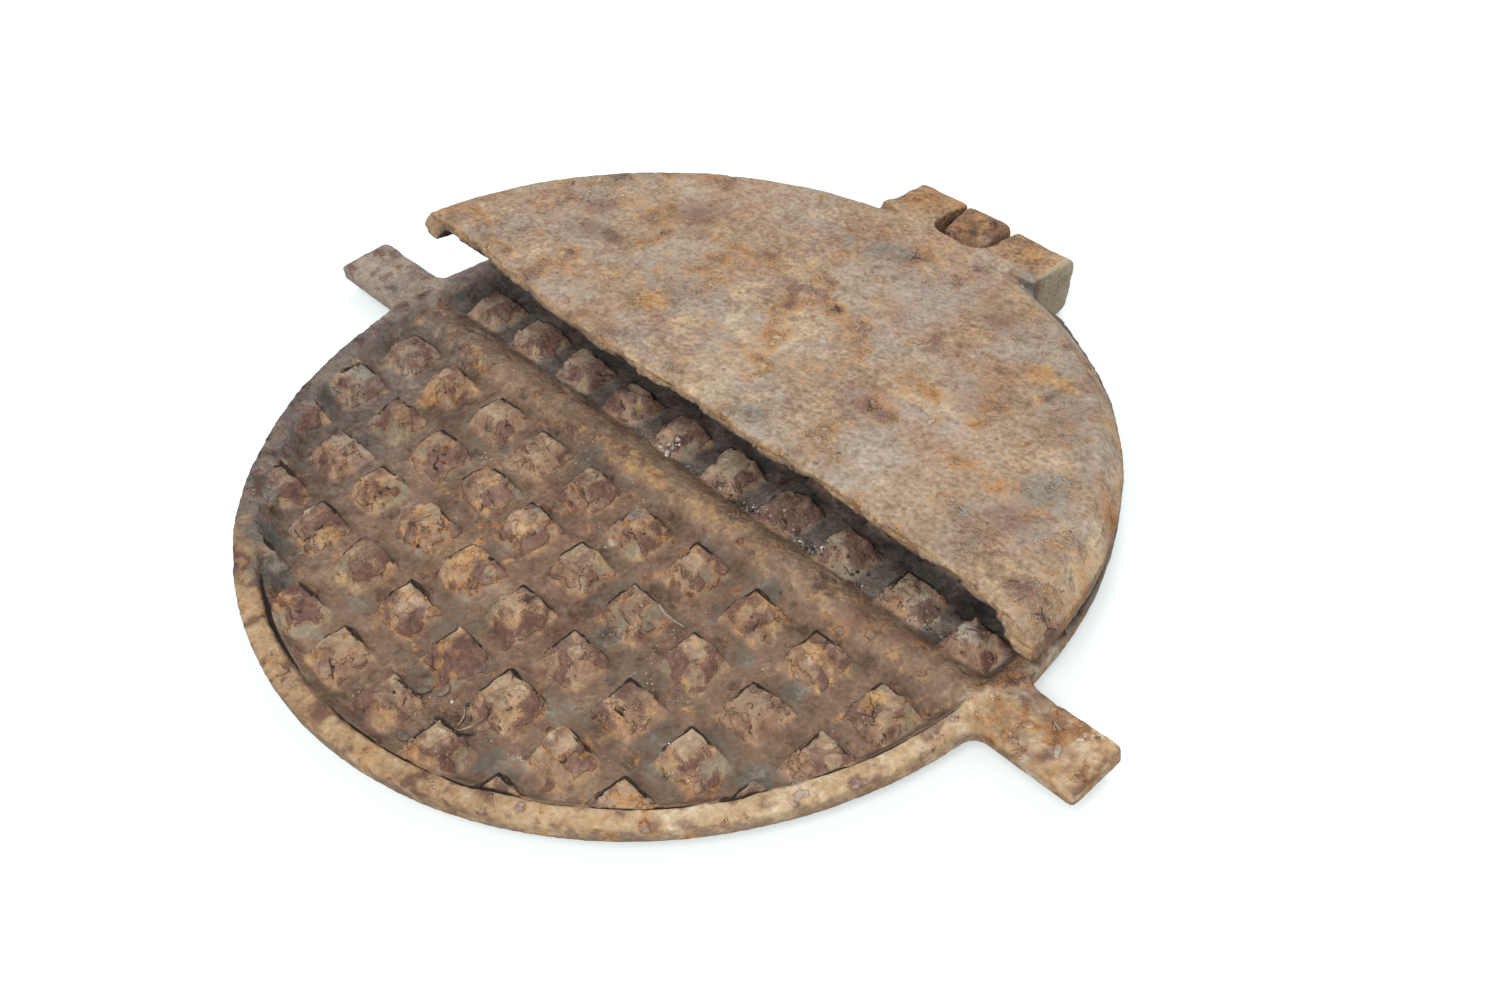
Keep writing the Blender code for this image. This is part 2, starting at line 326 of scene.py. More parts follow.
def worn_height(x, y, seed, fade=1.0):
    """The same pan as cast, worn and silted up: soft feet, rounded ridges, no two studs alike."""
    across, along, cell, _, _, down, _ = stud_sides(x, y, seed)
    lean_x, lean_y = scatter(cell, seed + 8) - 0.5, scatter(cell, seed + 9) - 0.5
    tilt = stud_tilt * (lean_x * across + lean_y * along)
    peak = stud_height - stud_wear * scatter(cell, seed + 10) + tilt
    stud = peak * np.clip(1 - down, 0, 1) ** stud_fullness * fade
    away = np.abs(y - pattern_shift_y)
    bar = worn_divider_height * (1 - (away / worn_divider_half) ** 2)
    silt = silt_height * rough_noise(flat_points(x, y), silt_size, seed + 12)
    height = smooth_max(stud, silt, stud_foot)
    height = smooth_max(height, np.maximum(bar, deepest_bar), divider_foot)
    height = sheet_thickness + height - lowering
    return np.minimum(smooth_max(height, wall_height(x, y), wall_foot), plate_thickness)


def pan_masks(points, seed):
    """Fields over the pan, most of them from 0 to 1: the scale, the bare faces, the studs' tops, sides and
    edges, the valleys, the painted shade on the studs' back faces, and the cracks along the studs' edges,
    whose dark lines along the far edges are partly painted shadow."""
    x, y, _ = points.T
    across, along, cell, side_x, side_y, down, top = stud_sides(x, y, seed)
    ridge = np.minimum(side_x, side_y) / np.maximum(np.maximum(side_x, side_y), 1e-6)
    on_top = 1 - rise(down, 0.02, 0.14)
    on_side = rise(down, 0.03, 0.14) * (1 - rise(down, 0.75, 1.05))
    corner = on_side * hill(ridge, 1, 0.22)
    edge = np.clip(hill(down, 0.05, 0.08) + corner, 0, 1)
    divider = rise(-np.abs(y - pattern_shift_y), -0.0064, -0.003)
    valley = rise(down, 0.7, 1.0) * (1 - divider)
    field = 0.85 * rough_noise(points, 0.0027, seed + 21, 4) + 0.35 * soft_noise(points, 0.011, seed + 25)
    field += 0.02 * on_top + on_side * (0.3 - 0.35 * down)
    field -= 0.34 * corner + 0.85 * valley + 0.5 * divider
    choice = rough_noise(points, 0.012, seed + 31, 2) + 0.25 * np.sign(across) * (side_x > side_y)
    bare = rise(choice, 0.0, 0.45) * on_side * rise(-field, -0.05, 0.3)
    # Painted shade: the steep back faces of the studs are painted dark, as shade behind their tops
    back_side = np.maximum((along > 0) * (side_y >= side_x * 0.92), (across < 0) * (side_x > side_y))
    shade = back_side * rise(down, 0.04, 0.16) * (1 - rise(down, 0.45, 0.8))

    def open_along(offset, other):
        """Where the crust has come away along an edge of the stud's top, a gap whose dark colour is partly
        painted shadow.
        """
        return hill(offset, gap_middle, gap_width) * rise(top + gap_end - np.abs(other), 0, gap_fade)

    # The gaps lie along the studs' far edges only, and their dark colour there is partly painted shadow
    far_edge_gap_and_shadow = np.maximum(open_along(top - along, across), open_along(top + across, along))
    far_edge_gap_and_shadow *= rise(soft_noise(points, 0.0045, seed + 41), -0.5, 0.1)
    # It has split down the near corners too
    jagged = side_x - side_y + 0.3 * soft_noise(points, 0.0016, seed + 42)
    split = hill(jagged, 0, 0.075) * (across > 0) * (along < 0) * rise(down, 0.04, 0.15)
    split *= (1 - rise(down, 0.5, 0.95)) * (scatter(cell, seed + 43) > 0.35)
    split *= rise(soft_noise(points, 0.003, seed + 44), -0.6, 0.0)
    return {
        "split": np.maximum(far_edge_gap_and_shadow, 0.8 * split), "field": field, "bare": bare, "top": on_top,
        "side": on_side, "valley": valley, "divider": divider, "shade": shade, "edge": edge, "down": down,
    }


def settle(points, normals, worn, inside, keep_section=1.0):
    """Bring the patterned face to its worn height, and what lies under it along with it."""
    height = cad_height(points[:, 0], points[:, 1])
    z = points[:, 2]
    along_side = z + (worn - height) * np.clip(z / height, 0, 1)
    face = rise(normals[:, 2], -0.02, 0.1) * keep_section
    return z + inside * (along_side + (worn - along_side) * face - z)


def inside_pan(x, y):
    """1 on the pan that the pattern fills, 0 on the rim and round the hinge."""
    open_pan = 1 - rise(np.hypot(x, y), rim_inside - pan_fade, rim_inside + rim_fade)
    hinge = rise(y, hinge_starts - mm, hinge_starts + mm)
    return open_pan * (1 - hinge * rise(-np.abs(x), -hinge_side_end, -hinge_side))


def round_hinge(x, y, first, last):
    """0 before the first y, 1 past the last one, over the width of the two ears."""
    return rise(y, first, last) * rise(-np.abs(x), -ears_side_end, -ears_side)


def behind_break(x, y):
    """How far behind the upper plate's break a point lies."""
    edge = np.interp(x / disc_radius, break_shares[:, 0], break_shares[:, 1]) * row_pitch + pattern_shift_y
    return y - edge


def azimuth_of(x, y):
    """The direction from the disc's middle, in degrees: 0 to the right tab, 90 to the hinge."""
    return np.degrees(np.arctan2(y, x))


# The lower plate


def rim_crack(x, y, points):
    """The dark crack along the inside of the near rim, as a depth from 0 to 1."""
    azimuth = azimuth_of(x, y) % 360
    middle = 0.0893 + 0.0006 * rise(azimuth, 270, 330) + 0.0005 * soft_noise(points, 0.012, 77)
    length = rise(azimuth, 240, 248) * (1 - rise(azimuth, 351, 357))
    faint = 1 - 0.75 * hill(azimuth, 268, 7)
    broken = rise(soft_noise(points, 0.017, 78), -0.75, -0.35)
    width = 0.00045 + 0.00018 * soft_noise(points, 0.01, 79)
    return length * faint * broken * hill(np.hypot(x, y), middle, width)


flare_azimuths = (28, 48, 56, 62, 67, 72, 75, 79)
flare_shares = (0, 0.01, 0.016, 0.02, 0.027, 0.036, 0.03, 0)


def flare(points):
    """The rim stands out a little, towards the right of the hinge."""
    x, y = points[:, 0], points[:, 1]
    share = np.interp(azimuth_of(x, y), flare_azimuths, flare_shares)
    grow = 1 + share * rise(np.hypot(x, y), 0.08, 0.092)
    moved = points.copy()
    moved[:, 0] *= grow
    moved[:, 1] *= grow
    return moved


# Patches of colour on the lower plate: x, y, size (mm), strength
blue_lower = (
    (25, -40, 4.5, 0.9), (-60, -67, 4, 1), (-49, -73.5, 5, 1.2), (-39, -78, 5, 1.3), (72, -43, 6, 1),
    (33, -75, 5, 1), (38, -74, 4, 0.8), (6.6, -15.4, 2.2, 1.2), (-80, -28, 4.5, 0.9), (-19, -8.6, 4, 0.9),
    (41, -9, 4, 0.9), (62, -24, 4, 0.9), (-80, -39, 4, 0.8), (60, -55, 5, 0.7), (-10, -30, 3.5, 0.6),
    (15, -62, 4, 0.6),
)
orange_lower = (
    (-40, -62, 3.2, 0.9), (-63, -22, 4.2, 1), (77, -17, 3.2, 1), (-28, -26, 3, 0.5), (9, -46, 3, 0.55),
    (26, -58, 3.5, 0.6), (-10, -55, 3, 0.5), (115, 3, 6, 0.8), (52, -38, 3, 0.5), (-45, -44, 3, 0.5),
    (44, -56, 3, 0.6), (22, -74, 3, 0.7), (-1, 99, 5, 0.9), (116, -6, 4, 0.6), (94, -8, 4, 0.4),
)
dark_lower = (
    (5, -84, 4.5, 0.9), (-10, -82, 4, 0.7), (105.5, 1, 2.6, 0.8), (102, -5.5, 2.4, 0.7),
    (106, -8, 2.2, 0.8), (109.5, -3, 2, 0.7), (99, -1, 2.4, 0.5), (86, -30, 4, 0.4),
    (-6, -82, 3, 0.6), (60, -3, 5, 0.8), (69, -2, 4, 0.6), (30, -2, 4, 0.4),
    (48, -5, 4, 0.4),
)
pale_lower = ((5.7, -22.8, 1.6, 0.9), (-1.2, -81.9, 2.5, 0.7), (78.7, 8, 4.5, 1.0), (87, -4, 5, 0.5))

# Relief on the lower plate: how high the rust stands, and how deep the damage goes
scale_height, pan_scale_height = 0.00009, 0.00019
lumps, side_lumps, small_lumps, rim_lumps = 0.00013, 0.00012, 0.00008, 0.00022
chip_depth = 0.0004
seam_depth = 0.00016
bare_depth = 0.00012
rim_wear = 0.00012
swell_height = 0.0011
hollow_depth = 0.0012
crack_depth = 0.0011
split_depth = 0.00035
crust_thickness = 0.0008


def sculpt_lower(lower):
    points = read_points(lower.data)
    x, y, z = points.T
    relax(lower, round_hinge(x, y, 0.086, 0.092) * rise(z, 0.001, 0.003), 30)
    points = read_points(lower.data)
    x, y, z = points.T
    knuckle = rise(y, 0.086, 0.092) * rise(-np.abs(x), -0.01, -0.008)
    points[:, 2] = settle(points, read_normals(lower.data), worn_height(x, y, 100), inside_pan(x, y))
    write_points(lower.data, points)
    normals = read_normals(lower.data)
    x, y, z = points.T
    radius = np.hypot(x, y)
    azimuth = azimuth_of(x, y) % 360
    up = rise(normals[:, 2], -0.2, 0.2)
    pan = inside_pan(x, y) * up
    rim = (1 - pan) * up
    masks = pan_masks(points, 100)
    crack = rim_crack(x, y, points) * up

    def rough(size, seed, octaves=3):
        return rough_noise(points, size, seed, octaves)

    field = masks["field"] * pan + (0.62 * rough(0.0026, 140, 4) - 0.36) * (1 - pan)
    scale = rise(field, 0.02, 0.16)
    low_relief = lumps * rough(0.0065, 130, 3)
    low_relief += side_lumps * masks["side"] * rough(0.0026, 133, 2)
    fine_relief = small_lumps * rough(0.0013, 135, 2)
    chips = rough(0.0031, 150, 3) + 0.4 * hill(masks["down"], 0.06, 0.09)
    chips = rise(chips, 0.72, 0.9) * pan
    seams = hill(soft_noise(points, 0.0046, 155), 0, 0.045) * rise(soft_noise(points, 0.012, 156), 0, 0.3)
    seams = seams * scale * pan
    relief = (low_relief + fine_relief) * (0.35 + 0.65 * up)
    relief += up * (scale_height + pan_scale_height * pan * (1 - 0.8 * masks["top"])) * scale
    relief -= up * (chip_depth * chips + seam_depth * seams)
    relief -= bare_depth * masks["bare"] * pan
    relief += rim * rim_lumps * rough(0.011, 160, 2)
    relief -= rim_wear * rise(radius, 0.0935, 0.0948)
    # The near side of the divider's right end swells up where it meets the rim
    swell = hill(x, 0.0855, 0.0055) * hill(y, -0.0035, 0.0042) * up
    hollow = hill(x, -0.0018, 0.0034) * hill(y, -0.0848, 0.0017) * up
    split = masks["split"] * pan
    moved = points + normals * relief[:, None]
    moved[:, 2] += swell_height * swell - hollow_depth * hollow - crack_depth * crack - split_depth * split
    # Rust fills most of the gap on the left of the knuckle
    crust = rise(-x, 0.0042, 0.006) * rise(x, -0.008, -0.007) * rise(y, 0.0935, 0.095)
    moved[:, 0] -= crust_thickness * crust * (1 + 0.3 * rough(0.003, 162, 2))
    moved = flare(moved)

    # Where the plate is darker, greyer or more yellow
    left = rise(-x - 0.35 * y, 0.045, 0.085)
    left_tab = rise(-x, 0.09, 0.096)
    tab = rise(x, 0.09, 0.094)
    beyond = rise(y, 0.001, 0.005) * rise(-radius, -0.091, -0.086)
    # Painted shadow: the pan behind the upper plate's break, under that plate, is painted darker
    shadow_under_upper = beyond * rise(behind_break(x, y), 0.0005, 0.006)
    # Grey rim where it looks out from under the upper plate's right edge, painted darker there as shade
    shaded_rim_sliver = rim * rise(azimuth, 6, 14) * (1 - rise(azimuth, 68, 78)) * rise(radius, 0.088, 0.09)
    blotches = rise(rough(0.003, 161, 3), 0.3, 0.62) * rim
    stains = spots(points, dark_lower)
    silt = rise(rough(0.01, 170, 3), 0.0, 0.5)
    silt *= (masks["valley"] + 0.5 * masks["divider"]) * pan
    side_glow = rise(-field, -0.15, 0.1) * rise(rough(0.005, 172, 2), -0.5, 0.3)
    divider_glow = rise(rough(0.0055, 173, 3), 0.0, 0.6)
    glow = pan * (0.62 * masks["side"] * side_glow + 0.55 * masks["divider"] * divider_glow)
    # Painted light: the studs' sides are painted lighter, so that they look lit about as brightly as the tops
    tone = 0.47 + pan * (0.14 * masks["top"] + 0.17 * masks["side"] + 0.08 * masks["edge"])
    tone += pan * (0.08 * masks["divider"] - 0.1 * masks["valley"])
    tone += 0.07 * rough(0.009, 171, 3)
    tone += 0.09 * pan * masks["valley"] * rough(0.0045, 174, 3)
    tone += (1 - tab) * rim * (0.12 * rise(azimuth, 225, 250) + 0.19 * rise(azimuth, 285, 320))
    tone += 0.14 * tab + 0.13 * beyond + 0.17 * left_tab
    # The rim's sliver under the upper plate is painted darker as shade
    tone -= 0.2 * blotches + 0.12 * shaded_rim_sliver + 0.14 * stains + 0.16 * chips
    # Painted shadow under the upper plate
    tone -= 0.2 * shadow_under_upper + 0.1 * left * (1 - left_tab)
    near_rim = 0.42 * rim * (1 - tab) * (1 - left)
    keep_masks(lower.data, {
        "tone": tone,
        "scale": field,
        "bare": masks["bare"] * pan,
        # Painted shade on the studs' back faces
        "back_face_shade": masks["shade"] * pan,
        # The crack mask also carries the dark gaps along the studs' far edges, which are partly painted shadow
        "crack": np.maximum(np.maximum(crack, 0.42 * hollow), 0.78 * split),
        "seam": seams,
        "blue": np.maximum(spots(points, blue_lower), 0.58 * silt) + shaded_rim_sliver,
        "orange": np.maximum(spots(points, orange_lower), glow),
        "dark": np.maximum(stains, 0.9 * blotches),
        "pale": np.maximum(spots(points, pale_lower), 0.5 * tab + near_rim),
        "mauve": left * (0.65 + 0.95 * rim),
        "ash": beyond * masks["valley"] + 0.6 * beyond,
        "ochre": rim * rise(azimuth, 222, 245) + pan * (0.12 * masks["divider"] + 0.4 * masks["edge"]),
        "red": pan * (0.9 * masks["side"] + 0.15 * masks["top"] + 0.25 * masks["divider"]) + 0.8 * knuckle,
    })
    return moved


# The upper plate, in its own frame


def into_upper(points):
    """From the model's frame to the plate's own, turned so that its pan faces up like the lower one's."""
    inverse = upper_frame.inverted()
    own = points @ np.array(inverse.to_3x3()).T + np.array(inverse.translation)
    own[:, 1] += hinge_reach
    own[:, 2] = plate_thickness - own[:, 2]
    return own


def out_of_upper(own):
    points = own.copy()
    points[:, 1] -= hinge_reach
    points[:, 2] = plate_thickness - points[:, 2]
    return points @ np.array(upper_frame.to_3x3()).T + np.array(upper_frame.translation)


def turn_into_upper(normals):
    own = normals @ np.array(upper_frame.inverted().to_3x3()).T
    own[:, 2] *= -1
    return own


# Patches of colour on the upper plate's back, in its own frame: x, y, size (mm), strength
blue_upper = (
    (16, 9.6, 3.5, 1), (-9, 74, 6, 0.8), (-4, 76, 5, 0.8), (-16, 72, 5, 0.6), (71, 36, 7, 0.8),
    (65, 19, 5, 0.6), (22, 91, 5, 0.8), (74, 45, 6, 0.5), (-70, 12, 3, 0.5),
)
orange_upper = (
    (-28, 20, 5, 0.9), (-25, 22, 3, 0.7), (47, 65, 4.5, 1), (53, 66, 4, 0.9), (6.6, 23, 3, 0.8),
    (83, 26, 4, 0.8), (-21, 60, 9, 0.45), (-74, 24, 7, 0.4), (-44, 49, 9, 0.35), (0, 104, 8, 0.6),
    (16, 100, 7, 0.6), (76, 12, 5, 0.5), (70, 14, 4, 0.5), (-50, 30, 7, 0.4),
)
dark_upper = (
    (28, 74, 8, 0.6), (44, 48, 9, 0.45), (-47, 52, 7, 0.7), (-66, 37, 5, 0.8), (72, 25, 5, 0.8),
    (60, 55, 9, 0.5), (-30, 60, 7, 0.4), (-75, 10, 4, 0.5), (30, 30, 9, 0.3), (-60, 28, 5, 0.6),
    (-86, 8, 4, 0.5),
)
pale_upper = (
    (16, 21, 7, 0.9), (37, 20, 8, 0.9), (-5, 20, 7, 0.7), (78, 15, 6, 0.8), (63, 45, 7, 0.6),
    (77, 24, 4, 0.7), (50, 20, 7, 0.6), (24, 90, 4, 0.8), (5, 80, 5, 0.5), (-10, 30, 8, 0.4),
)
rippled = ((74, 14, 12, 1), (62, 16, 9, 0.7))

# Relief on the upper plate
back_lumps, back_small_lumps = 0.0001, 0.00005
inner_scale_height, inner_bare_depth = 0.00022, 0.00018
layer_height = 0.00042
ear_wear, ear_lumps = 0.00028, 0.00024
ripple_height, ripple_length = 0.0001, 0.0009
pit_depth = 0.00018
edge_rounding = 0.00035
burr_height = 0.0016
ear_end_wear, ear_back_wear = 0.0004, 0.0003


def sculpt_upper(upper):
    own = into_upper(read_points(upper.data))
    x, y, z = own.T
    at_break = 0.3 * rise(-behind_break(x, y), -0.0035, -0.001)
    relax(upper, np.maximum(round_hinge(x, y, 0.088, 0.094), at_break), 42)
    own = into_upper(read_points(upper.data))
    x, y, z = own.T
    # The ears are worn down towards their ends and their upright backs
    hinge = round_hinge(x, y, 0.092, 0.096)
    worn_down = ear_end_wear * rise(-x, 0.0165, 0.024) + ear_back_wear * rise(y, 0.1, 0.107)
    own[:, 2] += hinge * worn_down * rise(-z, -0.005, -0.001)
    behind = behind_break(x, y)
    fade = rise(behind, 0.0002, 0.004)
    normals = turn_into_upper(read_normals(upper.data))
    keep_section = rise(behind, 0.0004, 0.0014)
    own[:, 2] = settle(own, normals, worn_height(x, y, 200, fade), inside_pan(x, y), keep_section)
    write_points(upper.data, out_of_upper(own))
    normals = turn_into_upper(read_normals(upper.data))
    x, y, z = own.T
    radius = np.hypot(x, y)
    inner = rise(normals[:, 2], -0.1, 0.2)
    back = rise(-normals[:, 2], 0.3, 0.8)
    pan = inside_pan(x, y) * inner
    masks = pan_masks(own, 200)
    section = rise(-behind, -0.0016, -0.0006) * (1 - back) * rise(-normals[:, 1], 0.2, 0.6)

    def rough(size, seed, octaves=3):
        return rough_noise(own, size, seed, octaves)

    layers = rough_noise(own * np.array((0.35, 1, 1.4)), 0.0014, 230, 3)
    field = masks["field"] * pan + (0.55 * rough(0.006, 240, 4) - 0.5) * (1 - pan)
    scale = rise(field, 0.02, 0.16)
    pits = back * rise(rough(0.0026, 241, 2), 0.75, 0.95)
    ripple = np.sin((x * 0.8 - y * 0.6) / ripple_length + 2.0 * soft_noise(own, 0.009, 239))
    relief = back_lumps * rough(0.0075, 233, 3)
    relief += back_small_lumps * rough(0.0012, 235, 2)
    relief += inner * inner_scale_height * scale - inner_bare_depth * masks["bare"] * pan
    relief += section * layer_height * layers
    relief -= hinge * (ear_wear + ear_lumps * rough(0.0055, 238, 3))
    relief += back * ripple_height * ripple * spots(own, rippled)
    relief -= rim_wear * rise(radius, 0.0935, 0.0948) + pit_depth * pits
    moved = own + normals * relief[:, None]
    # The broken edge is worn round, with a burr left at its left end
    worn_edge = (1 - rise(behind, 0, 0.002)) * (1 - rise(z, 0.0002, 0.0012))
    moved[:, 2] += edge_rounding * worn_edge * (1 + rough(0.004, 242, 2))
    burr = hill(x, -0.0928, 0.0013) * hill(y, 0.0045, 0.0018) * rise(-z, -0.003, -0.0005)
    moved[:, 2] -= burr_height * burr

    # Where the plate is redder, greyer or more yellow
    bare_back = 1 - pan
    near_rim = rise(radius, 0.088, 0.092)
    # The ears' end face: bare iron in colour, and painted lighter as painted light, since it lies in shade
    lit_bare_ear_end = rise(x, 0.0215, 0.0232) * hinge
    stains = spots(own, dark_upper) * bare_back
    blue, orange = spots(own, blue_upper), spots(own, orange_upper)
    reddish = back * rise(rough(0.015, 247, 3), -0.05, 0.6)
    yellowish = 0.5 * back * rise(rough(0.013, 249, 3), 0.2, 0.75)
    greyish = back * (0.46 + 0.4 * rough(0.014, 248, 3)) * (1 - 0.6 * hinge)
    tone = 0.42 + 0.05 * rough(0.024, 243, 2) + 0.04 * rough(0.006, 244, 3)
    # The ears' end face is painted lighter, as painted light
    tone += 0.31 * back + 0.2 * section + 0.5 * lit_bare_ear_end + 0.05 * near_rim * (1 - hinge)
    tone -= 0.1 * pan + 0.12 * hinge + 0.1 * pits + 0.05 * reddish
    tone -= 0.2 * stains + 0.1 * orange + 0.1 * blue
    keep_masks(upper.data, {
        "tone": tone,
        "scale": np.where(back > 0.5, field + 0.12, field),
        "bare": np.maximum(masks["bare"] * pan, lit_bare_ear_end),
        # Painted shade on the studs' back faces
        "back_face_shade": masks["shade"] * pan,
        "crack": 0.35 * section * rise(-layers, 0.4, 0.8),
        "blue": 1.2 * blue * bare_back,
        "orange": 1.15 * orange * bare_back,
        "dark": 1.1 * stains,
        "pale": 0.4 * spots(own, pale_upper) * bare_back + 0.2 * section,
        "mauve": greyish,
        "ash": pan,
        "ochre": 0.8 * section + 0.35 * hinge + 0.3 * near_rim + yellowish,
        "red": 0.55 * pan + reddish + 0.8 * hinge,
    })
    return out_of_upper(moved)


# Materials


class Paint:
    """One procedural material, built from noises, masks and colours."""

    def __init__(self, name):
        self.material = bpy.data.materials.new(name)
        self.material.use_nodes = True
        self.nodes = self.material.node_tree.nodes
        self.links = self.material.node_tree.links
        self.shader = self.nodes["Principled BSDF"]
        self.place = self.nodes.new("ShaderNodeTexCoord").outputs["Object"]
        self.seed = 0

    def feed(self, socket, value):
        if isinstance(value, bpy.types.NodeSocket):
            self.links.new(value, socket)
        elif isinstance(value, tuple):
            socket.default_value = (*value, 1)
        else:
            socket.default_value = value

    def new(self, kind, **values):
        """A node whose inputs have these values: From_Min stands for the input From Min."""
        node = self.nodes.new("ShaderNode" + kind)
        for name, value in values.items():
            self.feed(node.inputs[name.replace("_", " ")], value)
        return node

    def add(self, first, second, operation="ADD"):
        node = self.new("Math")
        node.operation = operation
        self.feed(node.inputs[0], first)
        self.feed(node.inputs[1], second)
        return node.outputs[0]

    def times(self, first, second):
        return self.add(first, second, "MULTIPLY")

    def moved_place(self):
        """The object's own coordinates, moved on a little more at each call so that no two noises agree."""
        self.seed += 1
        move = Vector((0.31 * self.seed, 0.17 * self.seed, 0.23 * self.seed))
        return self.new("Mapping", Vector=self.place, Location=move).outputs[0]

    def noise(self, size, detail=3.0, warp=0.0):
        """Noise about 0, whose lumps are the size given."""
        place = self.moved_place()
        node = self.new("TexNoise", Vector=place, Scale=0.5 / size, Detail=detail, Distortion=warp)
        node.inputs["Roughness"].default_value = 0.6
        return self.times(self.add(node.outputs["Fac"], -0.5), noise_gain)

    def cells(self, size, feature="DISTANCE_TO_EDGE"):
        node = self.new("TexVoronoi", Vector=self.moved_place(), Scale=1 / size)
        node.feature = feature
        return node.outputs["Distance"]

    def step(self, value, low, high, start=0.0, end=1.0):
        node = self.new("MapRange", Value=value, From_Min=low, From_Max=high, To_Min=start, To_Max=end)
        node.interpolation_type = "SMOOTHSTEP"
        return node.outputs[0]

    def mix(self, share, first, second):
        node = self.new("Mix")
        node.data_type = "RGBA"
        for name, value in (("Factor", share), ("A", first), ("B", second)):
            self.feed(node.inputs[name], value)
        return node.outputs["Result"]

    def ramp(self, value, stops):
        node = self.new("ValToRGB", Fac=value)
        points = node.color_ramp.elements
        points[0].position, points[1].position = stops[0][0], stops[-1][0]
        points[0].color, points[1].color = (*stops[0][1], 1), (*stops[-1][1], 1)
        for place, colour in stops[1:-1]:
            points.new(place).color = (*colour, 1)
        return node.outputs["Color"]

    def mask(self, name):
        node = self.new("Attribute")
        node.attribute_name = name
        return node.outputs["Fac"]

    def finish(self, colour, roughness, height, depth):
        """Set the shader's colour and roughness, and bump it by the height."""
        bump = self.new("Bump", Strength=1.0, Distance=depth, Height=height)
        self.feed(self.shader.inputs["Base Color"], colour)
        self.feed(self.shader.inputs["Roughness"], roughness)
        self.feed(self.shader.inputs["Normal"], bump.outputs["Normal"])
        return self.material


# Blender's noise keeps near its middle, and this brings it to about -1 to 1
noise_gain = 3.2
rust_bump, dirt_bump = 0.0003, 0.0001
rust_gloss = 0.35



def evenly(*colours):
    """Four colours at the usual places on their range."""
    return tuple(zip((0.1, 0.4, 0.7, 1.0), colours))


# Ranges of colour from dark to light: the place of each colour on its range, and the colour
ranges = {
    "rust": (
        (0.00, (0.075, 0.043, 0.027)), (0.16, (0.115, 0.068, 0.043)), (0.32, (0.175, 0.112, 0.073)),
        (0.46, (0.235, 0.15, 0.096)), (0.58, (0.3, 0.202, 0.131)), (0.7, (0.37, 0.262, 0.172)),
        (0.82, (0.44, 0.33, 0.226)), (0.92, (0.51, 0.4, 0.285)), (1.00, (0.6, 0.49, 0.37)),
    ),
    "red": evenly((0.1, 0.043, 0.026), (0.235, 0.12, 0.068), (0.39, 0.24, 0.155), (0.54, 0.4, 0.285)),
    "mauve": evenly((0.07, 0.058, 0.053), (0.18, 0.146, 0.13), (0.345, 0.276, 0.224), (0.5, 0.415, 0.34)),
    "ochre": evenly((0.15, 0.075, 0.04), (0.3, 0.175, 0.088), (0.5, 0.345, 0.19), (0.7, 0.55, 0.36)),
    "ash": (
        (0.05, (0.03, 0.025, 0.022)), (0.4, (0.13, 0.11, 0.096)),
        (0.7, (0.29, 0.245, 0.215)), (1.0, (0.55, 0.5, 0.46)),
    ),
    "red flecks": evenly((0.095, 0.038, 0.024), (0.21, 0.1, 0.064), (0.36, 0.205, 0.14), (0.5, 0.35, 0.26)),
    "gold flecks": evenly(
        (0.15, 0.075, 0.035), (0.3, 0.165, 0.07), (0.47, 0.305, 0.14), (0.62, 0.46, 0.27),
    ),
    "halo": (
        (0.05, (0.14, 0.05, 0.025)), (0.45, (0.33, 0.14, 0.053)),
        (0.75, (0.47, 0.24, 0.095)), (1.0, (0.6, 0.37, 0.19)),
    ),
    "purple scale": evenly(
        (0.055, 0.025, 0.02), (0.14, 0.068, 0.052), (0.24, 0.142, 0.108), (0.4, 0.28, 0.21),
    ),
    "bare": ((0.1, (0.11, 0.086, 0.056)), (0.45, (0.212, 0.177, 0.12)), (0.9, (0.345, 0.292, 0.205))),
    "blue": ((0.1, (0.055, 0.051, 0.043)), (0.45, (0.132, 0.122, 0.101)), (0.8, (0.31, 0.285, 0.235))),
    "orange": ((0.1, (0.2, 0.09, 0.035)), (0.5, (0.42, 0.22, 0.085)), (0.9, (0.62, 0.41, 0.19))),
    "dark": ((0.1, (0.07, 0.034, 0.026)), (0.5, (0.175, 0.092, 0.068)), (0.9, (0.36, 0.24, 0.18))),
    "pale": ((0.1, (0.24, 0.18, 0.13)), (0.5, (0.4, 0.32, 0.24)), (0.9, (0.72, 0.65, 0.55))),
    "dirt": (
        (0.05, (0.022, 0.018, 0.015)), (0.35, (0.11, 0.085, 0.066)), (0.55, (0.235, 0.18, 0.13)),
        (0.75, (0.44, 0.38, 0.31)), (1.0, (0.82, 0.8, 0.76)),
    ),
}
# Regions and patches: the mask and its range, where it starts, where it is full, and how much it covers
regions = (("red", 0.3, 1.0, 0.8), ("mauve", 0.2, 0.9, 0.85), ("ochre", 0.2, 0.9, 0.85), ("ash", 0.3, 1.0, 0.8))
patches = (
    ("blue", 0.35, 0.95, 0.85), ("orange", 0.35, 1.0, 0.85), ("dark", 0.35, 0.9, 0.8), ("pale", 0.4, 1.1, 0.7),
)
# The dark line at the scale's edge: a crack, and partly painted shadow
scale_edge_shadow_colour = (0.06, 0.03, 0.018)
dark_spot_colour = (0.12, 0.062, 0.048)
speck_colour = (0.62, 0.57, 0.5)
hair_colour = (0.05, 0.028, 0.018)
# Painted shade on the studs' back faces
back_face_shade_colour = (0.03, 0.019, 0.013)
seam_colour = (0.075, 0.034, 0.02)
# Near black, for cracks and for the painted shadow in the gaps along the studs' far edges
crack_and_shadow_colour = (0.012, 0.008, 0.006)


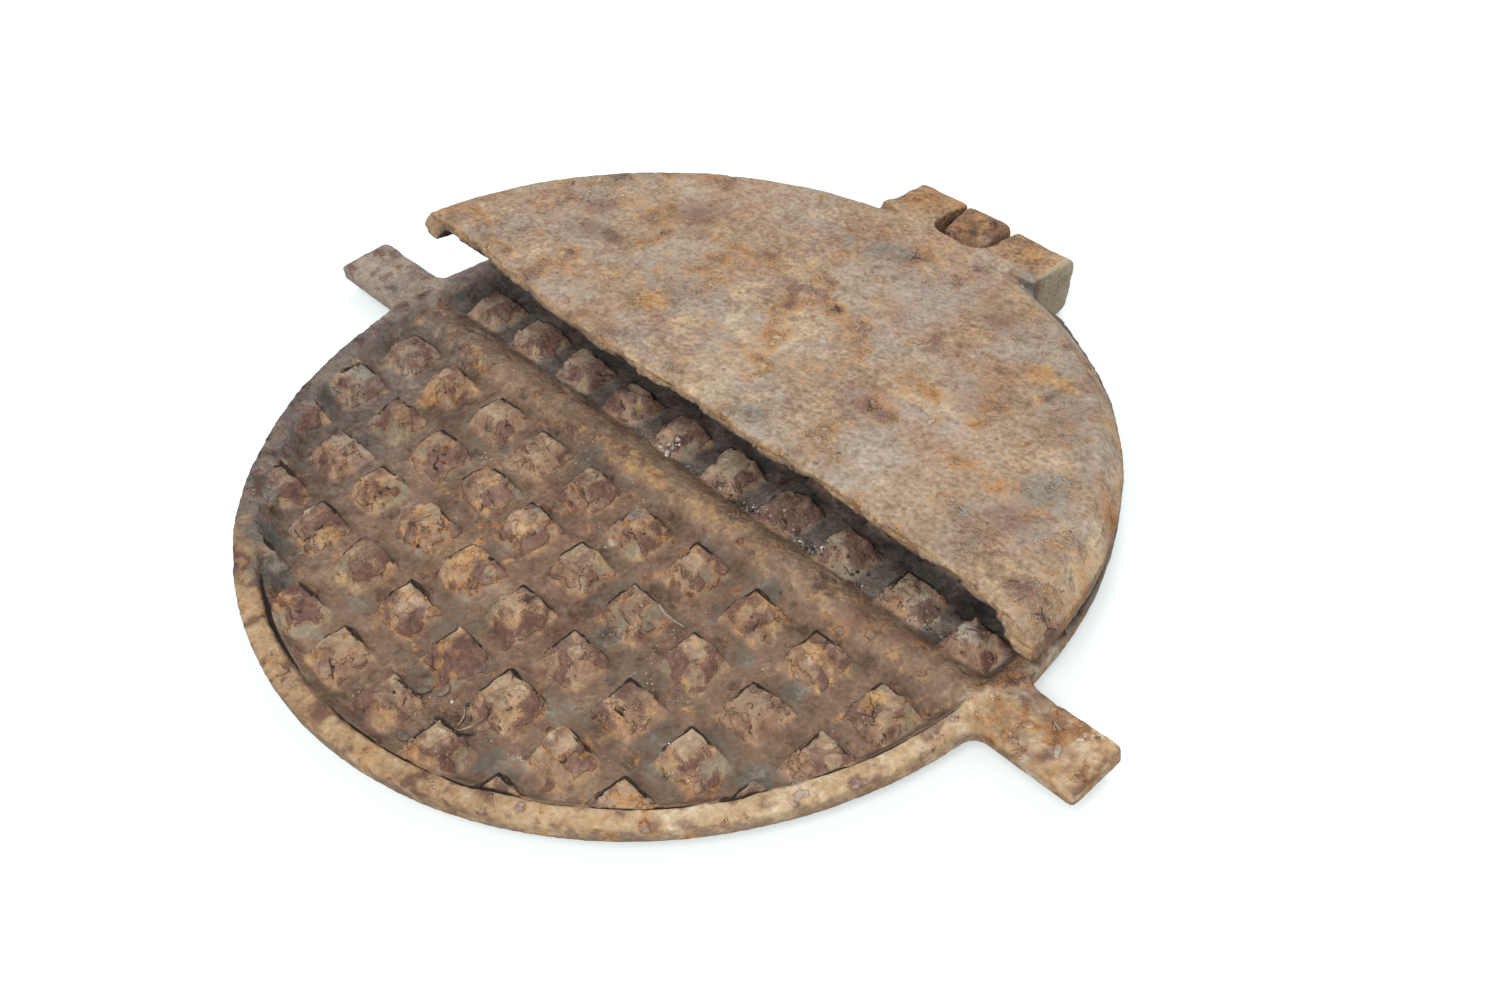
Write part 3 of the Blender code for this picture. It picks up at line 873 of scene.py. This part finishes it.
def rust(name, lightness=0.0, redness=1.0, coarseness=0.17, scale_edge_shadows=0.75):
    """Rusted iron that follows the masks on its mesh."""
    paint = Paint(name)
    add, times, step, mix = paint.add, paint.times, paint.step, paint.mix
    noise, cells, ramp, mask = paint.noise, paint.cells, paint.ramp, paint.mask
    broad = noise(0.016, 3)
    middle = noise(0.0046, 4, warp=0.4)
    small = noise(0.0015, 3)
    fine = noise(0.00055, 3)
    grain = add(times(small, 0.4), times(fine, 0.25))
    grain = add(times(middle, 0.4), grain)
    tone = add(mask("tone"), lightness)
    weights = ((broad, 0.05), (middle, 0.3 - 0.7 * coarseness), (small, 0.19), (fine, coarseness))
    for layer, weight in weights:
        tone = add(tone, times(layer, weight))
    colour = ramp(tone, ranges["rust"])

    def over(share, first, last, most, stops, level=tone):
        """Lay another range of colours over the ones so far."""
        return mix(step(share, first, last, 0, most), colour, ramp(level, ranges[stops]))

    for kind, first, last, most in regions:
        colour = over(add(mask(kind), grain), first, last, most, kind)

    # Small flecks of red and of yellow rust, fewer where the iron is grey
    greyer = step(add(mask("mauve"), mask("ash")), 0.45, 1.1, 1.0, 0.25)
    flecks = add(noise(0.0011, 3), times(noise(0.02, 2), 0.5))
    colour = over(times(flecks, greyer), 0.05, 0.7, 0.68, "red flecks")
    gold = add(noise(0.0014, 3), times(noise(0.017, 2), 0.7))
    colour = over(times(gold, greyer), 0.45, 1.0, 0.6, "gold flecks")

    # Orange rust round the islands of scale, the purple-brown scale itself, and the dark line between, a crack
    # partly painted as the shadow of the scale's edge
    scale = add(mask("scale"), add(times(small, 0.38), times(fine, 0.34)))
    halo = times(step(scale, -0.42, -0.02), step(scale, 0.12, 0.36, 1, 0))
    halo = times(halo, step(add(broad, small), -0.6, 0.7, 0.05, redness))
    halo = times(halo, greyer)
    orange = times(add(small, fine), 0.32)
    orange = add(orange, step(tone, 0.3, 0.8, 0.45, 0.68))
    colour = over(halo, 0, 1, 0.9, "halo", orange)
    inner = times(step(scale, 0.15, 0.24), step(noise(0.005, 3), -0.45, 0.1))
    colour = over(inner, 0, 1, 0.9, "purple scale", add(times(grain, 0.7), 0.46))
    # Painted shadow, with cracks: a dark line along the edge of the scale
    scale_edge_shadow = times(step(scale, 0.04, 0.1), step(scale, 0.1, 0.18, 1, 0))
    scale_edge_shadow = times(scale_edge_shadow, step(middle, -0.3, 0.5, 0.1, scale_edge_shadows))
    scale_edge_shadow = times(scale_edge_shadow, step(mask("red"), 0.4, 0.85, 0.15, 1))
    colour = mix(scale_edge_shadow, colour, scale_edge_shadow_colour)

    # Smooth grey-green faces, where the scale has come off
    colour = over(add(mask("bare"), times(grain, 0.6)), 0.3, 0.85, 0.8, "bare")

    # Patches at chosen places
    for kind, first, last, most in patches:
        colour = over(add(mask(kind), grain), first, last, most, kind)

    # Small dark spots and light specks
    dark_spot = add(noise(0.0012, 2), times(noise(0.009, 2), 0.4))
    dark_spot = step(dark_spot, 0.62, 0.95)
    colour = mix(times(dark_spot, 0.65), colour, dark_spot_colour)
    speck = step(cells(0.0011, "F1"), 0.12, 0.24, 1, 0)
    speck = times(speck, step(noise(0.006, 3), 0.25, 0.7))
    colour = mix(times(speck, 0.75), colour, speck_colour)

    # Cracks, whose dark lines along the studs' far edges are partly painted shadow, and painted shade on the
    # studs' back faces
    hair = step(add(cells(0.006), times(small, 0.03)), 0.008, 0.026, 1, 0)
    hair = times(hair, step(noise(0.0035, 2), 0.15, 0.4))
    hair = times(hair, step(scale, -0.1, 0.1))
    colour = mix(times(hair, 0.7), colour, hair_colour)
    # Painted shade on the studs' back faces
    back_face_shade = step(add(mask("back_face_shade"), times(small, 0.25)), 0.3, 0.95, 0, 0.9)
    colour = mix(back_face_shade, colour, back_face_shade_colour)
    seam = step(add(mask("seam"), times(fine, 0.2)), 0.35, 0.8, 0, 0.75)
    colour = mix(seam, colour, seam_colour)
    # Cracks, and the painted shadow in the gaps along the studs' far edges
    crack = step(add(mask("crack"), times(small, 0.12)), 0.22, 0.6, 0, 0.96)
    colour = mix(crack, colour, crack_and_shadow_colour)

    # Grain finer than the mesh
    height = add(times(fine, 0.45), times(small, 0.35))
    height = add(height, step(scale, 0.04, 0.15, 0, 1.2))
    height = add(height, times(hair, -1.0))
    height = add(height, times(speck, 0.3))
    paint.shader.inputs["Specular IOR Level"].default_value = rust_gloss
    return paint.finish(colour, step(small, -1, 1, 0.72, 0.95), height, rust_bump)


def dirt_colour(name):
    paint = Paint(name)
    fine = paint.noise(0.0006, 3)
    small = paint.noise(0.002, 2)
    level = paint.add(paint.mask("shade"), paint.add(paint.times(fine, 0.18), paint.times(small, 0.1)))
    colour = paint.ramp(level, ranges["dirt"])
    return paint.finish(colour, paint.step(fine, -1, 1, 0.6, 0.95), fine, dirt_bump)


def dress(thing, node, body, points, material):
    """Put a sculpted casting in its node's place."""
    write_points(thing.data, points)
    thin_out(thing)
    low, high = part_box(node)
    write_points(thing.data, np.clip(read_points(thing.data), np.array(low), np.array(high)))
    thing.data.materials.append(material)
    thing.data.shade_smooth()
    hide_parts(node)
    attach(thing, body)


# Dirt that lies loose in the lower pan

dirt_seed = 8060
drop_from = 0.05
largest_grain = 0.9 * mm
grit_reach = 0.0935
path_steps = 9
strand_sides, flake_sides = 8, 10
flake_thickness = 0.12 * mm
flake_curl = 0.5 * mm

# Where the grit lies thickest, in mm: x, y, spread along x and along y, how many, mean size, mean shade
grit_places = (
    (15.5, 3.4, 5, 0.8, 90, 0.13, 0.48), (24, 4.2, 5, 0.9, 90, 0.13, 0.45),
    (38, 5.0, 4, 1.0, 110, 0.16, 0.58), (33, 4.4, 8, 1.0, 90, 0.12, 0.44),
    (-6.0, 4.3, 1.2, 0.7, 40, 0.22, 0.66), (54, 4.6, 6, 1.2, 80, 0.14, 0.42),
    (66, 5.0, 5, 1.4, 70, 0.15, 0.44), (76, 6.0, 3, 1.4, 40, 0.16, 0.42),
    (2, 3.6, 8, 0.8, 40, 0.12, 0.42), (-20, 4.2, 9, 1.0, 30, 0.12, 0.42),
    (20, -73, 5, 3.0, 70, 0.16, 0.48), (10, -77, 5, 2.5, 40, 0.15, 0.45),
    (31, -31, 4, 3.0, 40, 0.13, 0.58), (8, -20, 4, 3.0, 24, 0.13, 0.66),
    (22, -45, 16, 14, 100, 0.09, 0.66), (-20, -40, 22, 18, 80, 0.09, 0.62),
    (50, -35, 16, 14, 70, 0.09, 0.62), (92.3, 14.0, 0.7, 2.2, 70, 0.3, 0.36),
)
# One large grain on a stud: x, y, size (m), shade
large_grain = (0.0308, -0.0337, 0.0011, 0.52)
# Twigs: x, y, length (mm), heading, half thickness (mm), shade
twigs = (
    (21.8, -74.5, 9, 0.5, 0.26, 0.22), (24.0, -72.6, 7, 1.3, 0.2, 0.62),
    (18.5, -75.6, 6, -0.3, 0.22, 0.2), (23.0, -76.8, 5, 0.1, 0.22, 0.55),
    (20.2, -72.3, 5, 2.2, 0.18, 0.66), (31.6, -28.0, 7, 0.15, 0.22, 0.66),
    (29.5, -29.6, 4, 1.0, 0.14, 0.58), (26.0, -70.9, 4, 0.9, 0.12, 0.5),
    (14.5, 3.6, 4, 0.4, 0.12, 0.35), (18.0, 3.2, 3, 1.7, 0.12, 0.32),
    (36.0, 5.0, 4, 0.5, 0.12, 0.4), (12.0, -79.5, 5, 0.2, 0.14, 0.4),
)
# Thin flakes: x, y, length, half width (mm), heading, lift (mm), shade
flakes = (
    (9.1, -73.2, 5.0, 0.9, 0.75, 0.5, 0.4), (80.3, -39.4, 3.6, 0.9, 0.9, 0.2, 0.62),
    (12.6, -71.0, 3.5, 0.8, 1.6, 0.4, 0.45), (16.0, -82.0, 4.2, 0.9, 0.1, 0.3, 0.38),
)


def drop_onto(tree, x, y):
    """Where a thing let fall at this place comes to rest, and which way the surface faces there."""
    spot, facing, _, _ = tree.ray_cast(Vector((x, y, drop_from)), Vector((0, 0, -1)))
    return spot, facing


def gather(name, parts, material):
    """One object of many small closed meshes, each with its own shade."""
    corners, faces, shades = [], [], []
    for points, sides, shade in parts:
        start = len(corners)
        corners.extend(points)
        faces.extend(tuple(start + index for index in side) for side in sides)
        shades.extend([shade] * len(points))
    mesh = bpy.data.meshes.new(name)
    mesh.from_pydata(corners, [], faces)
    keep_masks(mesh, {"shade": np.array(shades)})
    mesh.materials.append(material)
    mesh.shade_smooth()
    thing = add_object(name, mesh)
    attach(thing, "lower")


def pebble_shape():
    shape = bmesh.new()
    bmesh.ops.create_icosphere(shape, subdivisions=2, radius=1)
    points = np.array([tuple(vert.co) for vert in shape.verts])
    sides = [tuple(vert.index for vert in face.verts) for face in shape.faces]
    shape.free()
    return points, sides


def pebble(tree, shape, draw, x, y, size, shade):
    """A lumpy grain sunk a little into what it lies on."""
    spot, facing = drop_onto(tree, x, y)
    if spot is None:
        return None
    points, sides = shape
    lumpy = 1 + 0.45 * rough_noise(points + draw.uniform(0, 9, 3), 0.8, 301, 2)
    stretch = draw.uniform(0.45, 1.4, 3)
    turn = np.array(Euler(draw.uniform(0, 6, 3)).to_matrix())
    moved = (points * lumpy[:, None] * stretch * size) @ turn.T
    moved += np.array(spot) + np.array(facing) * size * 0.35
    return [tuple(point) for point in moved], sides, shade


def strand(path, widths, thickness, shade, sides=strand_sides):
    """A closed flat strand along a path: a twig, a straw or a thin flake."""
    path = np.array(path)
    run = np.gradient(path, axis=0)
    run /= np.linalg.norm(run, axis=1)[:, None]
    side = np.cross(run, (0, 0, 1))
    side /= np.linalg.norm(side, axis=1)[:, None]
    above = np.cross(side, run)
    points, faces = [], []
    for place, across, up, width in zip(path, side, above, widths):
        for step in range(sides):
            turn = 2 * math.pi * step / sides
            points.append(tuple(place + across * math.cos(turn) * width + up * math.sin(turn) * thickness))
    for ring in range(len(path) - 1):
        for step in range(sides):
            first, second = ring * sides + step, ring * sides + (step + 1) % sides
            faces.append((first, second, second + sides, first + sides))
    faces.append(tuple(range(sides))[::-1])
    faces.append(tuple(range(len(points) - sides, len(points))))
    return points, faces, shade


def lying(tree, x, y, length, heading, lift, bend=0.6):
    """A path for something that lies on the pan and bridges its dips."""
    share = np.linspace(-0.5, 0.5, path_steps)
    wander = soft_noise(np.stack([share * 3, share, share], axis=1), 1, int(x * 1e5) % 97)
    turn = heading + bend * share + 0.25 * wander
    run_x = x + np.cumsum(np.cos(turn)) * length / path_steps - 0.5 * length * math.cos(heading)
    run_y = y + np.cumsum(np.sin(turn)) * length / path_steps - 0.5 * length * math.sin(heading)
    heights = []
    for place_x, place_y in zip(run_x, run_y):
        spot, _ = drop_onto(tree, place_x, place_y)
        heights.append(spot.z if spot else 0.0)
    slope = np.linspace(heights[0], heights[-1], path_steps)
    return list(zip(run_x, run_y, np.maximum(heights, slope) + lift))


def taper(start, power=1.0):
    """How wide a strand is along its length, narrow at both ends."""
    shares = (start + (1 - 2 * start) * step / (path_steps - 1) for step in range(path_steps))
    return [math.sin(math.pi * share) ** power for share in shares]


def make_dirt(lower):
    mesh = lower.data
    tree = BVHTree.FromPolygons(
        [vert.co for vert in mesh.vertices], [tuple(face.vertices) for face in mesh.polygons]
    )
    draw = np.random.default_rng(dirt_seed)
    shape = pebble_shape()
    grains = []
    for x, y, spread_x, spread_y, count, size, shade in grit_places:
        for _ in range(count):
            place_x = (x + draw.normal() * spread_x) * mm
            place_y = (y + draw.normal() * spread_y) * mm
            grain_size = min(size * mm * math.exp(0.45 * draw.normal()), largest_grain)
            grain_shade = float(np.clip(shade + 0.22 * draw.normal(), 0, 1))
            grain = pebble(tree, shape, draw, place_x, place_y, grain_size, grain_shade)
            if grain and math.hypot(place_x, place_y) < grit_reach:
                grains.append(grain)
    grains.append(pebble(tree, shape, draw, *large_grain))
    material = dirt_colour("loose_grit_colour")
    gather("loose_grit", grains, material)

    bits = []
    for x, y, length, heading, thickness, shade in twigs:
        path = lying(tree, x * mm, y * mm, length * mm, heading, thickness * mm)
        widths = [thickness * mm * (0.35 + 0.65 * width) for width in taper(0.1)]
        bits.append(strand(path, widths, thickness * mm * 0.8, shade))
    middle = (path_steps - 1) / 2
    for x, y, length, half, heading, lift, shade in flakes:
        path = lying(tree, x * mm, y * mm, length * mm, heading, lift * mm, 0.9)
        curl = flake_curl * (np.arange(path_steps) - middle) ** 2 / middle**2
        curled = np.array(path) + np.outer(curl, (0, 0, 1))
        widths = [half * mm * width for width in taper(0.06, 0.7)]
        bits.append(strand(curled, widths, flake_thickness, shade, flake_sides))
    gather("loose_bits", bits, material)


# The camera, the floor and the light

camera_place = (0.20866854, -0.14473108, 0.23644484)
camera_turn = (46.02368, 4.76245, 47.1243)
camera_lens, camera_sensor = 37.749, 36
floor_half = 12
floor_colour = (0.66, 0.71, 0.715)
floor_glow_colour, floor_glow = (0.93, 1.0, 1.0), 0.42
sky_colour, sky_strength = (0.97, 1.0, 1.0, 1), 0.52
# Lamps: name, place, size, energy
lamps = (
    ("key", (0.38, -0.52, 0.84), 0.6, 6.9),
    ("back", (-0.22, 0.42, 1.05), 0.35, 3.2),
)


def make_camera():
    data = bpy.data.cameras.new("camera")
    data.lens = camera_lens
    data.sensor_width = camera_sensor
    camera = add_object("camera", data)
    camera.location = camera_place
    camera.rotation_euler = [math.radians(turn) for turn in camera_turn]
    bpy.context.scene.camera = camera


def make_floor():
    shape = bmesh.new()
    bmesh.ops.create_grid(shape, x_segments=2, y_segments=2, size=floor_half)
    mesh = bpy.data.meshes.new("floor")
    shape.to_mesh(mesh)
    shape.free()
    floor = add_object("floor", mesh)
    # The floor glows for the rays that see it and lights nothing, so that it keeps the shadow
    paint = Paint("floor_white")
    paint.nodes.remove(paint.shader)
    rays = paint.new("LightPath").outputs
    seen = paint.add(rays["Is Camera Ray"], rays["Is Glossy Ray"], "MAXIMUM")
    seen = paint.add(seen, rays["Is Transmission Ray"], "MAXIMUM")
    both = paint.new("AddShader")
    paint.feed(both.inputs[0], paint.new("BsdfDiffuse", Color=floor_colour).outputs[0])
    glow = paint.new("Emission", Color=floor_glow_colour, Strength=paint.times(seen, floor_glow))
    paint.feed(both.inputs[1], glow.outputs[0])
    paint.feed(paint.nodes["Material Output"].inputs["Surface"], both.outputs[0])
    mesh.materials.append(paint.material)


def make_lights():
    world = bpy.data.worlds.new("studio")
    bpy.context.scene.world = world
    world.use_nodes = True
    background = world.node_tree.nodes["Background"]
    background.inputs["Color"].default_value = sky_colour
    background.inputs["Strength"].default_value = sky_strength
    for name, place, size, energy in lamps:
        data = bpy.data.lights.new(name, "AREA")
        data.shape = "DISK"
        data.size = size
        data.energy = energy
        lamp = add_object(name, data)
        lamp.location = place
        lamp.rotation_euler = (-Vector(place)).to_track_quat("-Z", "Y").to_euler()


lower = fine_copy("lower_casting", "lower_plate")
dress(lower, "lower_plate", "lower", sculpt_lower(lower), rust("lower_rust", 0.01))
make_dirt(lower)
upper = fine_copy("upper_casting", "upper_plate")
upper_rust = rust("upper_rust", 0.0, 0.9, 0.27, 0.25)
dress(upper, "upper_plate", "upper", sculpt_upper(upper), upper_rust)
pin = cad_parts["hinge_pin"]
pin.data.materials.clear()
pin.data.materials.append(rust("pin_rust", 0.25))
make_camera()
make_floor()
make_lights()
bpy.context.scene.view_settings.view_transform = "Standard"
